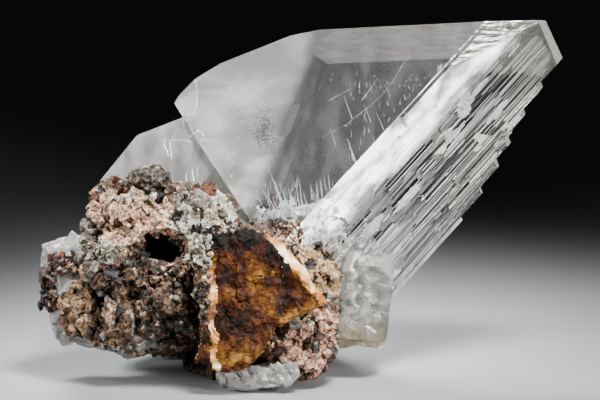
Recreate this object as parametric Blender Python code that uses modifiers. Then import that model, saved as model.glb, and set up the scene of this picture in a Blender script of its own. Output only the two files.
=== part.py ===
"""A clear selenite crystal that stands out of its rock matrix.

Places are given square to a viewer who looks 10 degrees down on the specimen: right, up and near are
millimetres across, up and towards that viewer. The row frame has +Z up and +Y away from the viewer,
and its origin is in the middle of the flat break that the rock stands on.
"""

import math
import random

import bmesh
import bpy
from mathutils import Matrix, Vector, noise

MM = 0.001
GAP = 0.3  # clearance between pieces that touch
LOOK_DOWN = math.radians(10.0)
VIEW_ORIGIN = (15.3, -20.9, 0.0)  # where right, up and near are all zero, in the row frame

# How the main crystal stands: its long axis leans right and back, and it is turned to show its side.
CRYSTAL_PLACE = (24.6, 79.0, -18.0)  # right, up, near
CRYSTAL_LEAN = math.radians(42.4)
CRYSTAL_TILT = math.radians(10.0)
CRYSTAL_TURN = math.radians(35.0)

# How steeply faces meet the broad front: gypsum's prism face, and (in degrees) this crystal's end face.
PRISM_ANGLE = math.radians(55.6)
END_ANGLE = 59.5
END_SLOPE = math.radians(54.4)  # the end face's front edge against the long axis

# The main crystal in its own frame: side is +X, back is +Y and along is +Z.
HALF_THICK = 20.0
FRONT_SIDE_EDGE = 14.0  # side coordinate where the broad front meets the striated face
# Corners of the broad front face as (side, along), from the upper right round to the lower left.
END_POINT = (-0.1, 43.9)
SHOULDER_END = (-35.0, 18.9)
SHOULDER = (-42.7, 11.1)
UPPER_LEFT = (-56.9, -11.4)
CORNER = (-60.4, -21.0)
CORNER_FOOT = (-50.1, -30.8)
LEFT_TIP = (-63.6, -15.0, -31.4)  # (side, back, along)
# Faces given by a normal and a point: the small one that cuts the tip, the bevel along the back's left
# edge, the narrow left side, the underside and the break at the root.
TIP_CUT = ((0.82, -0.13, 1.0), (22.4, -7.7, 67.9))
BACK_BEVEL = ((-0.574, 0.772, -0.272), (-37.8, HALF_THICK, 12.5))
LEFT_SIDE = ((-0.97, 0.20, 0.10), LEFT_TIP)
UNDERSIDE = ((-0.30, 0.13, -1.0), (-54.6, -20.0, -34.7))
ROOT_BREAK = ((0.06, 0.22, -0.97), (0.0, 0.0, -66.0))
MAIN_REACH = 28.6  # width of the striated face on the narrow upper stretch, as seen from the front
# The outer steps of the striated side: how far each reaches, and how high up the axis.
STEPS = ((30.4, 56.0), (32.2, 45.0), (35.0, 34.5), (37.4, 26.0), (39.4, 15.5), (41.4, 3.5), (43.0, -9.5))
LOWER_HALF_THICK = 17.0
LOWER_TOP = ((-64.6, -48.8), (-56.2, -35.7))
LOWER_LEFT = ((-63.0, -69.8), (-64.6, -48.8))

# Thin laths on the striated face.
BLADE_SEED = 11
BLADE_COUNT = 18
BLADE_WIDTH = (2.2, 6.5)
BLADE_HEIGHT = (0.45, 1.5)
BLADE_LENGTH = (16.0, 52.0)
BLADE_DROP = 46.0  # how far below the step's top a lath's upper end may lie

ROCK_VOXEL = 1.7
ROCK_TRIANGLES = 6000
ROCK_LAYERS = ((12.0, 3.4), (5.5, 1.7))  # scale and height of its lumps

SLAB_VOXEL = 1.3
SLAB_THICK = 9.0
SLAB_NEAR = 30.0  # how far forward the slab's middle stands
SLAB_TRIANGLES = 1100
SLAB_LAYERS = ((9.0, 0.9), (3.6, 0.6))
# The slab's outline as (right, up), round from its upper left corner.
SLAB_OUTLINE = (
    (-31.8, 52.0), (-24.5, 51.3), (-17.1, 50.6), (-10.3, 47.9), (-4.8, 44.5), (-1.4, 39.0),
    (3.4, 33.5), (9.2, 25.7), (0.0, 21.2), (-8.6, 17.1), (-11.6, 10.6), (-19.5, 2.9),
    (-28.0, 3.4), (-34.9, 5.8), (-32.8, 14.0), (-33.5, 24.3), (-35.6, 32.8), (-36.0, 42.0),
)

# The slab's raised edges, down its right and its left side: start, end (right, up, near) and radius.
SLAB_RIDGES = (
    ((-10.5, 46.0, 33.0), (-1.5, 36.5, 34.0), 2.4),
    ((-1.5, 36.5, 34.0), (7.0, 26.2, 33.0), 2.4),
    ((-33.5, 44.0, 33.6), (-32.0, 30.0, 34.6), 2.0),
    ((-32.0, 30.0, 34.6), (-31.4, 9.0, 33.6), 2.0),
)

# Rounded masses that make up the rock: middle (right, up, near) and radii.
ROCK_MASSES = (
    ((-46, 33, 6), (33, 25, 24)),
    ((-54, 51, 4), (17, 15, 18)),
    ((-37, 55, 8), (15, 10, 15)),
    ((-63, 56, -4), (10, 13, 14)),
    ((-73, 32, -3), (13, 16, 13)),
    ((-72, 25, 13), (10, 12, 9)),
    ((-84.5, 27.5, 1), (5, 6, 6)),
    ((-54, 20, 14), (23, 11, 14)),
    ((-14, 27, 12), (25, 23, 15)),
    ((5, 27, 4), (11, 19, 15)),
    ((0, 13, 16), (14, 11, 12)),
    ((-24, 26, -26), (40, 23, 26)),
    ((-44, 40, -30), (20, 17, 16)),
    ((-16, 40, -38), (28, 14, 16)),
)
# The foot is given in the row frame, because it stands on the flat break.
FOOT_MIDDLE = (0, 0, 4)
FOOT_RADII = (26, 33, 15)

NODULE_MIDDLE = (-51.5, 66.5, 9.0)
NODULE_RADII = (8.2, 6.0, 7.0)
NODULE_LAYERS = ((4.0, 1.9),)

HOLLOW_MIDDLE = (-46.5, 43.5, 24)
HOLLOW_HALF_SIZES = (7, 4.5, 9)
HOLLOW_TRIMS = (((1, 1, -0.6), 0.7), ((-1, -1, -0.4), 0.68), ((-1, 1, 0.1), 0.8), ((1, -1, 0), 0.74))

# Bevels of the small crystals, as (direction, share of the block's reach).
SIDE_BLOCK_TRIMS = (((1, 1, 1), 0.72), ((-1, 1, 1), 0.74), ((1, -0.6, 1), 0.8), ((0, 1, 0.9), 0.8))
SIDE_FOOT_TRIMS = (((1, -1, 0.4), 0.78), ((-1, -1, 0.5), 0.76), ((1, 0, 1), 0.8))
SIDE_LIP_TRIMS = (((1, -1, 0), 0.8), ((0, -1, 1), 0.75))
LEFT_TALL_TRIMS = (((-1, 1, 0.4), 0.74), ((1, 1, 0.3), 0.84), ((0, 1, 1), 0.8), ((-1, 0, 1), 0.8))
LEFT_LOW_TRIMS = (((-1, 1, 0.3), 0.8), ((-1, -1, 0.5), 0.8))
LEDGE_LEFT_TRIMS = (((-1, -1, 0.3), 0.72), ((-1, 1, 0.4), 0.8))
LEDGE_MIDDLE_TRIMS = (((1, -1, 0.2), 0.86), ((-0.4, -1, 0.4), 0.84), ((0, -1, 1), 0.84))
LEDGE_END_TRIMS = (((1, -1, 0.2), 0.7), ((-1, -1, 0.3), 0.8), ((0, -1, 1), 0.8))
FRONT_LONG_TRIMS = (((1, -1, 0), 0.8), ((-0.3, -1, 1), 0.86))
FRONT_END_TRIMS = (((-1, -1, 0), 0.74), ((-1, 0, 1), 0.8))

CRYSTAL_BLANK = 500.0  # the block that every crystal is cut from


def clear_scene():
    for old in list(bpy.data.objects):
        bpy.data.objects.remove(old, do_unlink=True)


def new_collection(name):
    made = bpy.data.collections.new(name)
    bpy.context.scene.collection.children.link(made)
    return made


def display_frame():
    """Right, up and near, in millimetres, to the row frame in metres."""
    axes = Matrix(((1, 0, 0), (0, 0, -1), (0, 1, 0))).to_4x4()
    place = Matrix.Scale(MM, 4) @ Matrix.Translation(VIEW_ORIGIN)
    return place @ Matrix.Rotation(-LOOK_DOWN, 4, "X") @ axes


def crystal_frame():
    """The main crystal's side, back and along, in millimetres, to the row frame in metres."""
    lean = Matrix.Rotation(CRYSTAL_LEAN, 4, "Y")
    tilt = Matrix.Rotation(-CRYSTAL_TILT, 4, "X")
    turn = Matrix.Rotation(-CRYSTAL_TURN, 4, "Z")
    place = Matrix.Translation(display_frame() @ Vector(CRYSTAL_PLACE))
    return place @ Matrix.Scale(MM, 4) @ Matrix.Rotation(-LOOK_DOWN, 4, "X") @ lean @ tilt @ turn


def facet(normal, point):
    """One flat face: its outward unit normal, and its distance from the frame's origin."""
    unit = Vector(normal).normalized()
    return unit, unit.dot(Vector(point))


def traced_facet(start, end, dip, back=-1, half=HALF_THICK):
    """A facet through an edge drawn on the front or back face as (side, along), the crystal on its right."""
    run = Vector((end[0] - start[0], 0, end[1] - start[1])).normalized()
    outward = Vector((-run.z, 0, run.x))
    dip = math.radians(dip)
    normal = math.sin(dip) * outward + math.cos(dip) * Vector((0, back, 0))
    return facet(normal, (start[0], back * half, start[1]))


def three_point_facet(first, second, third):
    """A facet through three points, facing away from the crystal's middle."""
    first, second, third = (Vector(point) for point in (first, second, third))
    normal = (second - first).cross(third - first).normalized()
    if normal.dot(first) < 0:
        normal = -normal
    return facet(normal, first)


def end_facets(shrink=0.0):
    """The pair of sloping faces that meet in the crystal's upper ridge."""
    run = (END_POINT[0] + math.sin(END_SLOPE), END_POINT[1] + math.cos(END_SLOPE))
    pair = [traced_facet(END_POINT, run, END_ANGLE, back) for back in (-1, 1)]
    return [(normal, distance - shrink) for normal, distance in pair]


def striated_facet(raise_by=0.0):
    normal, distance = facet(
        (math.sin(PRISM_ANGLE), -math.cos(PRISM_ANGLE), 0), (FRONT_SIDE_EDGE, -HALF_THICK, 0)
    )
    return normal, distance + raise_by


def hidden_side_facet(reach):
    """The back prism face, by how far the striated face reaches before it."""
    return Vector((math.sin(PRISM_ANGLE), math.cos(PRISM_ANGLE), 0)), reach


def front_and_back(shrink=0.0):
    half = HALF_THICK - shrink
    return [facet((0, -1, 0), (0, -half, 0)), facet((0, 1, 0), (0, half, 0))]


def root_facet(shrink=0.0):
    """The end that is broken off inside the rock."""
    normal, distance = facet(*ROOT_BREAK)
    return normal, distance - shrink


def main_body_facets():
    corner, corner_foot = ((side, -HALF_THICK, along) for side, along in (CORNER, CORNER_FOOT))
    return front_and_back() + end_facets() + [
        striated_facet(),
        hidden_side_facet(MAIN_REACH),
        facet(*TIP_CUT),
        traced_facet(SHOULDER, SHOULDER_END, 68),
        traced_facet(UPPER_LEFT, SHOULDER, 78),
        traced_facet(CORNER, UPPER_LEFT, 83),
        three_point_facet(corner, corner_foot, LEFT_TIP),
        facet(*BACK_BEVEL),
        facet(*LEFT_SIDE),
        facet(*UNDERSIDE),
    ]


def step_facets(order, reach, top):
    """An outer step of the striated side, a little lower than the one inside it."""
    inset = 0.25 * (order + 1)
    outer_edge = hidden_side_facet(0)[0] * reach
    return front_and_back(1.5 + inset) + end_facets(inset) + [
        striated_facet(-inset),
        hidden_side_facet(reach),
        facet((0.5, -0.1, 0.87), outer_edge + Vector((0, 0, top))),
        facet((-1, 0, 0), (-5.0 - order, 0, 0)),
        root_facet(inset),
    ]


def lower_crystal_facets():
    """The smaller crystal in parallel growth at the lower left."""
    half = LOWER_HALF_THICK
    return front_and_back(HALF_THICK - half) + [
        traced_facet(*LOWER_TOP, 80, half=half),
        traced_facet(*LOWER_TOP, 66, 1, half),
        traced_facet(*LOWER_LEFT, 72, half=half),
        traced_facet(*LOWER_LEFT, 58, 1, half),
        facet((1, 0, 0), (-30.0, 0, 0)),
        root_facet(4.0),
    ]


def blade_facets(draw):
    """One thin lath lying on the striated face, with a sloping end at each tip."""
    width = draw.uniform(*BLADE_WIDTH)
    height = draw.uniform(*BLADE_HEIGHT)
    across = draw.uniform(0.5, STEPS[-1][0] - width)
    roof = max(top for reach, top in ((MAIN_REACH, 63.0), *STEPS) if reach >= across + width)
    top = roof - 3.0 - draw.random() ** 2 * BLADE_DROP
    bottom = top - draw.uniform(*BLADE_LENGTH)
    face_run = Vector((math.cos(PRISM_ANGLE), math.sin(PRISM_ANGLE), 0))
    edge = Vector((FRONT_SIDE_EDGE, -HALF_THICK, 0))
    outward, distance = striated_facet()
    return [
        (outward, distance + height),
        (-outward, 2.0 + draw.random() - distance),
        facet(-face_run + 0.5 * outward, edge + face_run * across),
        facet(face_run + 0.5 * outward, edge + face_run * (across + width)),
        facet((-0.3, -0.5, 1), edge + face_run * across + Vector((0, 0, top))),
        *end_facets(0.7 + draw.random()),
        facet((0.4, -0.6, -1), edge + face_run * across + Vector((0, 0, bottom))),
        root_facet(5.0 + draw.random()),
    ]


def chunk(middle, half_sizes, degrees, trims):
    """A blocky crystal in the display frame: six faces turned in the picture's plane, and bevels.

    Each trim is a direction and the share of the block's reach in it at which the bevel lies.
    """
    middle = Vector(middle)
    axes = (Vector((1, 0, 0)), Vector((0, 1, 0)), Vector((0, 0, 1)))
    facets = [(sign * axis, half) for axis, half in zip(axes, half_sizes) for sign in (-1, 1)]
    for direction, share in trims:
        unit = Vector(direction).normalized()
        reach = sum(abs(part) * half for part, half in zip(unit, half_sizes))
        facets.append((unit, reach * share))
    spin = Matrix.Rotation(math.radians(degrees), 3, "Z")
    return [(spin @ unit, distance + (spin @ unit).dot(middle)) for unit, distance in facets]


def level_facet(height):
    """A level lower face at a height over the flat break, for a block in the display frame."""
    return Vector((0, -math.cos(LOOK_DOWN), -math.sin(LOOK_DOWN))), -height


def link(collection, obj):
    collection.objects.link(obj)
    return obj


def hide_helper(obj):
    obj.hide_render = True
    obj.display_type = "WIRE"
    return obj


def convex_crystal(name, facets, frame, grow=0.0):
    """A closed convex crystal: a block cut back to every facet, each one moved out by grow."""
    shape = bmesh.new()
    bmesh.ops.create_cube(shape, size=CRYSTAL_BLANK)
    for normal, distance in facets:
        cut = bmesh.ops.bisect_plane(
            shape,
            geom=shape.verts[:] + shape.edges[:] + shape.faces[:],
            dist=1e-4,
            plane_co=normal * (distance + grow),
            plane_no=normal,
            clear_outer=True,
        )
        rim = [edge for edge in cut["geom_cut"] if isinstance(edge, bmesh.types.BMEdge)]
        if rim:
            bmesh.ops.edgeloop_fill(shape, edges=rim)
    bmesh.ops.remove_doubles(shape, verts=shape.verts[:], dist=0.01)
    bmesh.ops.recalc_face_normals(shape, faces=shape.faces[:])
    bmesh.ops.transform(shape, matrix=frame, verts=shape.verts[:])
    mesh = bpy.data.meshes.new(name)
    shape.to_mesh(mesh)
    shape.free()
    return bpy.data.objects.new(name, mesh)


def add_boolean(obj, other, operation):
    cut = obj.modifiers.new(f"{operation.lower()} {other.name}", "BOOLEAN")
    cut.operation = operation
    cut.object = other


def settle(obj):
    """Replaces an object's mesh by what its modifiers make of it."""
    bpy.context.view_layer.update()
    graph = bpy.context.evaluated_depsgraph_get()
    mesh = bpy.data.meshes.new_from_object(obj.evaluated_get(graph))
    obj.modifiers.clear()
    obj.data = mesh
    return obj


def keep_largest(obj):
    """Removes any loose crumbs that the cuts left, so that one solid stays."""
    shape = bmesh.new()
    shape.from_mesh(obj.data)
    unseen = set(shape.verts)
    islands = []
    while unseen:
        found = [unseen.pop()]
        for vert in found:
            for edge in vert.link_edges:
                other = edge.other_vert(vert)
                if other in unseen:
                    unseen.remove(other)
                    found.append(other)
        islands.append(found)
    islands.sort(key=len)
    for island in islands[:-1]:
        bmesh.ops.delete(shape, geom=island, context="VERTS")
    bmesh.ops.remove_doubles(shape, verts=shape.verts[:], dist=1e-6)
    bmesh.ops.dissolve_degenerate(shape, edges=shape.edges[:], dist=1e-6)
    shape.to_mesh(obj.data)
    shape.free()


def grown_crystals(collection, crystals):
    """Cutters: every convex crystal again, larger by the gap."""
    return [
        hide_helper(link(collection, convex_crystal(f"socket_{name}_{n}", facets, frame, GAP)))
        for name, members in crystals.items()
        for n, (facets, frame) in enumerate(members)
    ]


def fused_crystal(name, members, collection, helpers):
    """Several convex crystals grown together, joined in one solid."""
    whole = None
    for number, (facets, frame) in enumerate(members):
        piece = convex_crystal(name if whole is None else f"{name}_part_{number}", facets, frame)
        if whole is None:
            whole = link(collection, piece)
        else:
            hide_helper(link(helpers, piece))
            add_boolean(whole, piece, "UNION")
    settle(whole)
    keep_largest(whole)
    return whole


def crystal_members():
    """Every named crystal, as the convex shapes that grew together in it."""
    main = crystal_frame()
    display = display_frame()
    draw = random.Random(BLADE_SEED)
    big = [(main_body_facets(), main)]
    big += [(step_facets(n, reach, top), main) for n, (reach, top) in enumerate(STEPS)]
    big += [(lower_crystal_facets(), main)]
    big += [(blade_facets(draw), main) for _ in range(BLADE_COUNT)]
    side_block = chunk((22.5, 27.5, 1.0), (8.5, 15.0, 9.0), -6, SIDE_BLOCK_TRIMS)
    side_foot = chunk((25.0, 15.2, 0.0), (4.6, 5.4, 6.0), -8, SIDE_FOOT_TRIMS)
    side_lip = chunk((15.0, 14.0, 1.0), (7.5, 4.2, 6.5), 12, SIDE_LIP_TRIMS)
    big += [(block, display) for block in (side_block, side_foot, side_lip)]
    left_tall = chunk((-78.6, 38.0, 7.0), (7.6, 9.0, 8.0), 14, LEFT_TALL_TRIMS)
    left_low = chunk((-84.0, 34.2, 4.0), (3.8, 7.2, 6.5), -3, LEFT_LOW_TRIMS)
    ledge_left = chunk((-79.0, 17.4, 3.0), (5.0, 5.8, 8.0), 20, LEDGE_LEFT_TRIMS)
    ledge_middle = chunk((-66.5, 13.8, 3.0), (13.0, 4.2, 9.0), -14, LEDGE_MIDDLE_TRIMS)
    ledge_end = chunk((-54.5, 13.0, 5.0), (7.4, 5.0, 8.0), 24, LEDGE_END_TRIMS)
    front_long = chunk((-12.5, 0.4, 20.0), (12.0, 3.6, 9.0), 7, FRONT_LONG_TRIMS) + [level_facet(0.4)]
    front_end = chunk((-22.0, 0.6, 19.0), (5.4, 3.6, 8.0), -12, FRONT_END_TRIMS) + [level_facet(0.6)]
    return {
        "selenite_crystal": big,
        "left_crystal": [(left_tall, display), (left_low, display)],
        "underside_crystal": [(block, display) for block in (ledge_left, ledge_middle, ledge_end)],
        "front_foot_crystal": [(front_long, display), (front_end, display)],
    }


def lump_height(point, scale, height):
    """Broken lumps: each cell stands out by its own amount, with a crevice round it."""
    distances, centres = noise.voronoi(point / scale)
    crevice = min(1.0, 2.6 * (distances[1] - distances[0]))
    own = noise.cell(centres[0] * 7.3)
    return height * (0.5 * own + 0.6 * crevice - 0.4)


def roughened(obj, layers):
    """Moves every vertex along its normal by the summed lumps of each (scale, height) layer."""
    shape = bmesh.new()
    shape.from_mesh(obj.data)
    shape.normal_update()
    moves = [
        vert.normal * sum(lump_height(vert.co / MM, scale, height) for scale, height in layers) * MM
        for vert in shape.verts
    ]
    for vert, move in zip(shape.verts, moves):
        vert.co += move
    shape.to_mesh(obj.data)
    shape.free()
    return obj


def thinned(obj, triangles):
    count = sum(len(face.vertices) - 2 for face in obj.data.polygons)
    thin = obj.modifiers.new("thin", "DECIMATE")
    thin.ratio = min(1.0, triangles / count)
    thin.use_collapse_triangulate = True
    return settle(obj)


def blended(name, mesh, voxel, collection):
    """One closed skin round everything in the mesh."""
    whole = link(collection, bpy.data.objects.new(name, mesh))
    remesh = whole.modifiers.new("skin", "REMESH")
    remesh.mode = "VOXEL"
    remesh.voxel_size = voxel * MM
    return settle(whole)


def rock_mesh():
    shape = bmesh.new()
    masses = [(display_frame(), *mass) for mass in ROCK_MASSES]
    masses.append((Matrix.Scale(MM, 4), FOOT_MIDDLE, FOOT_RADII))
    for frame, middle, radii in masses:
        stretch = Matrix.Diagonal((*radii, 1))
        bmesh.ops.create_icosphere(
            shape, subdivisions=4, radius=1.0, matrix=frame @ Matrix.Translation(middle) @ stretch
        )
    mesh = bpy.data.meshes.new("matrix_rock")
    shape.to_mesh(mesh)
    shape.free()
    return mesh


def flat_break(obj):
    """Cuts the rock off level at the height it stands on."""
    shape = bmesh.new()
    shape.from_mesh(obj.data)
    cut = bmesh.ops.bisect_plane(
        shape,
        geom=shape.verts[:] + shape.edges[:] + shape.faces[:],
        dist=1e-6,
        plane_co=(0, 0, 0),
        plane_no=(0, 0, -1),
        clear_outer=True,
    )
    rim = [edge for edge in cut["geom_cut"] if isinstance(edge, bmesh.types.BMEdge)]
    bmesh.ops.edgeloop_fill(shape, edges=rim)
    bmesh.ops.recalc_face_normals(shape, faces=shape.faces[:])
    shape.to_mesh(obj.data)
    shape.free()


def make_rock(collection, cutters):
    rock = blended("matrix_rock", rock_mesh(), ROCK_VOXEL, collection)
    roughened(rock, ROCK_LAYERS)
    thinned(rock, ROCK_TRIANGLES)
    flat_break(rock)
    for cutter in cutters:
        add_boolean(rock, cutter, "DIFFERENCE")
    settle(rock)
    keep_largest(rock)
    return rock


def hollow_cutter(collection):
    """The dark open hollow in the front of the rock."""
    facets = chunk(HOLLOW_MIDDLE, HOLLOW_HALF_SIZES, -14, HOLLOW_TRIMS)
    return hide_helper(link(collection, convex_crystal("hollow", facets, display_frame())))


def slab_blank(collection):
    """The slab's flat outline given its thickness."""
    outline = bpy.data.curves.new("slab_outline", "CURVE")
    outline.dimensions = "2D"
    outline.fill_mode = "BOTH"
    outline.extrude = SLAB_THICK / 2
    spline = outline.splines.new("POLY")
    spline.points.add(len(SLAB_OUTLINE) - 1)
    for point, (right, up) in zip(spline.points, SLAB_OUTLINE):
        point.co = (right, up, 0, 1)
    spline.use_cyclic_u = True
    guide = link(collection, bpy.data.objects.new("slab_outline", outline))
    bpy.context.view_layer.update()
    mesh = bpy.data.meshes.new_from_object(guide.evaluated_get(bpy.context.evaluated_depsgraph_get()))
    bpy.data.objects.remove(guide)
    shape = bmesh.new()
    shape.from_mesh(mesh)
    bmesh.ops.transform(shape, matrix=Matrix.Translation((0, 0, SLAB_NEAR)), verts=shape.verts[:])
    for start, end, radius in SLAB_RIDGES:
        add_bar(shape, Vector(start), Vector(end), radius)
    bmesh.ops.transform(shape, matrix=display_frame(), verts=shape.verts[:])
    shape.to_mesh(mesh)
    shape.free()
    return mesh


def add_bar(shape, start, end, radius):
    """A round bar from one point to another."""
    run = end - start
    place = Matrix.Translation((start + end) / 2) @ run.to_track_quat("Z", "Y").to_matrix().to_4x4()
    bmesh.ops.create_cone(
        shape, cap_ends=True, segments=12, radius1=radius, radius2=radius, depth=run.length, matrix=place
    )


def make_slab(collection):
    slab = blended("honey_slab", slab_blank(collection), SLAB_VOXEL, collection)
    roughened(slab, SLAB_LAYERS)
    return thinned(slab, SLAB_TRIANGLES)


def make_nodule(collection):
    shape = bmesh.new()
    place = display_frame() @ Matrix.Translation(NODULE_MIDDLE) @ Matrix.Diagonal((*NODULE_RADII, 1))
    bmesh.ops.create_icosphere(shape, subdivisions=3, radius=1.0, matrix=place)
    mesh = bpy.data.meshes.new("dark_nodule")
    shape.to_mesh(mesh)
    shape.free()
    return roughened(link(collection, bpy.data.objects.new("dark_nodule", mesh)), NODULE_LAYERS)


def grown_copy(obj, collection):
    """A cutter one gap larger than a rounded piece."""
    copy = hide_helper(link(collection, bpy.data.objects.new(f"socket_{obj.name}", obj.data.copy())))
    swell = copy.modifiers.new("gap", "DISPLACE")
    swell.strength = 1.8 * GAP * MM
    swell.mid_level = 0.0
    return copy


def make_material(name, colour, roughness, transmission=0.0):
    material = bpy.data.materials.new(name)
    material.use_nodes = True
    surface = material.node_tree.nodes["Principled BSDF"]
    surface.inputs["Base Color"].default_value = (*colour, 1)
    surface.inputs["Roughness"].default_value = roughness
    surface.inputs["Metallic"].default_value = 0.0
    surface.inputs["Transmission Weight"].default_value = transmission
    return material


def main():
    clear_scene()
    parts = new_collection("selenite_specimen")
    helpers = new_collection("cutters")
    crystals = crystal_members()
    made = {name: fused_crystal(name, members, parts, helpers) for name, members in crystals.items()}
    sockets = grown_crystals(helpers, crystals)
    slab = make_slab(parts)
    nodule = make_nodule(parts)
    for socket in sockets:
        add_boolean(slab, socket, "DIFFERENCE")
        add_boolean(nodule, socket, "DIFFERENCE")
    for piece in (slab, nodule):
        settle(piece)
        keep_largest(piece)
    cutters = sockets + [grown_copy(slab, helpers), grown_copy(nodule, helpers), hollow_cutter(helpers)]
    rock = make_rock(parts, cutters)

    selenite = make_material("clear_selenite", (0.93, 0.94, 0.94), 0.05, 1.0)
    for crystal in made.values():
        crystal.data.materials.append(selenite)
    rock.data.materials.append(make_material("iron_stained_rock", (0.33, 0.23, 0.17), 0.85))
    slab.data.materials.append(make_material("honey_calcite", (0.42, 0.22, 0.07), 0.55))
    nodule.data.materials.append(make_material("dark_oxide", (0.13, 0.11, 0.07), 0.8))


main()
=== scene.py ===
import math
import random
import time
from functools import partial

import bmesh
import bpy
from mathutils import Euler, Matrix, Vector, noise
from mathutils.bvhtree import BVHTree


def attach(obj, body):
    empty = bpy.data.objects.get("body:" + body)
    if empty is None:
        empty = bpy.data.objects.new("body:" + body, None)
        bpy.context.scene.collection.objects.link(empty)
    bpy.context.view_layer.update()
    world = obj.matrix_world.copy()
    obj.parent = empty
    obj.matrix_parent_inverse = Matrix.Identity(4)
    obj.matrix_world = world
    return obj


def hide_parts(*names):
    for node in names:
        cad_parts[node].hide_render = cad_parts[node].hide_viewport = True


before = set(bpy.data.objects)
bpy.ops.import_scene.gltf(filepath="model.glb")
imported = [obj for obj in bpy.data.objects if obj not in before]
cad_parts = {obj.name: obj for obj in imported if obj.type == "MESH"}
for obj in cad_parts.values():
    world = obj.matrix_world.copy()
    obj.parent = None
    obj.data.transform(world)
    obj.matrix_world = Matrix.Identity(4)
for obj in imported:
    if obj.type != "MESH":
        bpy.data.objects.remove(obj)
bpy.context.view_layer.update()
noise.seed_set(3)  # without a seed noise_vector differs from run to run
mm = 0.001

# How the specimen stands to the viewer: right, up and near in mm, seen 10 degrees from above.
stand = {
    "lookDown": 10.0,
    "viewOrigin": (15.3, -20.9, 0.0),
    "crystalAt": (24.6, 79.0, -18.0),
    "crystalLean": 42.4,
    "crystalTilt": 10.0,
    "crystalTurn": 35.0,
    "prismAngle": 55.6,
    "halfThick": 20.0,
    "frontSideEdge": 14.0,
}
photo = {"width": 600, "height": 400, "mmPerPixel": 0.342, "baseRow": 376.0, "middleUp": 60.2, "lens": 300.0}


def turnAbout(axis, degrees):
    return Matrix.Rotation(math.radians(degrees), 4, axis)


def viewSpace():
    # right, up and near in mm, to the model's metres
    axes = Matrix(((1, 0, 0), (0, 0, -1), (0, 1, 0))).to_4x4()
    place = Matrix.Scale(mm, 4) @ Matrix.Translation(stand["viewOrigin"])
    return place @ turnAbout("X", -stand["lookDown"]) @ axes


def crystalSpace():
    # side, back and along in mm of the big crystal, to the model's metres
    place = Matrix.Translation(viewSpace() @ Vector(stand["crystalAt"])) @ Matrix.Scale(mm, 4)
    lean = turnAbout("Y", stand["crystalLean"]) @ turnAbout("X", -stand["crystalTilt"])
    return place @ turnAbout("X", -stand["lookDown"]) @ lean @ turnAbout("Z", -stand["crystalTurn"])


viewMatrix = viewSpace()
crystalMatrix = crystalSpace()
cameraDistance = photo["width"] * photo["mmPerPixel"] * photo["lens"] / 36.0  # mm


def pixelRay(x, y):
    # start and direction, in metres, of the sight line through a pixel of the picture
    eye = Vector((0, photo["middleUp"], cameraDistance))
    pixel = photo["mmPerPixel"]
    spot = Vector(((x - photo["width"] / 2) * pixel, (photo["baseRow"] - y) * pixel, 0))
    start = viewMatrix @ eye
    return start, ((viewMatrix @ spot) - start).normalized()


def bent(ray, normal, ratio):
    # a ray's direction after it enters a surface
    cosIn = -ray.dot(normal)
    sinOut2 = (1 - cosIn * cosIn) / ratio ** 2
    return (ray / ratio + (cosIn / ratio - math.sqrt(1 - sinOut2)) * normal).normalized()


def insideAt(x, y, depth):
    # the point that lies depth mm behind the broad front and is seen at that pixel
    start, ray = pixelRay(x, y)
    toCrystal = crystalMatrix.inverted()
    start = toCrystal @ start
    ray = (toCrystal.to_3x3() @ ray).normalized()
    front = Vector((0, -1, 0))
    start = start + ray * ((-stand["halfThick"] - start.y) / ray.y)
    ray = bent(ray, front, 1.525)
    return start + ray * (depth / ray.y)


def linear(hexText):
    # an sRGB hex colour as linear red, green, blue and alpha
    parts = [int(hexText[i:i + 2], 16) / 255 for i in (1, 3, 5)]
    return tuple(p / 12.92 if p <= 0.04045 else ((p + 0.055) / 1.055) ** 2.4 for p in parts) + (1.0,)


def feed(node, inputs):
    # values, sockets or other nodes' first outputs into a node's inputs, by name or in order
    for key, value in inputs.items() if isinstance(inputs, dict) else enumerate(inputs):
        if isinstance(value, bpy.types.Node):
            value = next(one for one in value.outputs if one.enabled)
        if isinstance(value, bpy.types.NodeSocket):
            node.id_data.links.new(value, node.inputs[key])
        else:
            node.inputs[key].default_value = value


def addNode(tree, kind, inputs=(), **settings):
    # a shader node with its settings, colour stops, values and links
    node = tree.nodes.new("ShaderNode" + kind)
    stops = settings.pop("stops", None)
    for key, value in settings.items():
        setattr(node, key, value)
    if stops:
        bar = node.color_ramp.elements
        while len(bar) < len(stops):
            bar.new(0.5)
        for element, (spot, colour) in zip(bar, stops):
            element.position = spot
            element.color = linear(colour)
    feed(node, inputs)
    return node


def newMaterial(name, **values):
    # a material, the function that adds nodes to it, and its surface
    made = bpy.data.materials.new(name)
    made.use_nodes = True
    surface = made.node_tree.nodes["Principled BSDF"]
    feed(surface, {key.replace("_", " "): value for key, value in values.items()})
    return made, partial(addNode, made.node_tree), surface


def linked(name, data):
    made = bpy.data.objects.new(name, data)
    bpy.context.scene.collection.objects.link(made)
    return made


def meshOf(name, shape):
    # a finished bmesh as a mesh
    mesh = bpy.data.meshes.new(name)
    shape.to_mesh(mesh)
    shape.free()
    return mesh


def opened(piece):
    shape = bmesh.new()
    shape.from_mesh(piece.data)
    return shape


def closed(piece, shape):
    shape.to_mesh(piece.data)
    shape.free()


def meshPiece(name, shape, materials):
    mesh = meshOf(name, shape)
    for one in materials:
        mesh.materials.append(one)
    piece = linked(name, mesh)
    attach(piece, "root")
    return piece


def copyOfNode(node):
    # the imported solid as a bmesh, its loose triangles merged
    shape = bmesh.new()
    shape.from_mesh(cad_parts[node].data)
    bmesh.ops.remove_doubles(shape, verts=shape.verts[:], dist=1e-6)
    return shape


def skinOf(node):
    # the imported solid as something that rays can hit
    whole = copyOfNode(node)
    skin = BVHTree.FromBMesh(whole)
    whole.free()
    return skin


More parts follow.
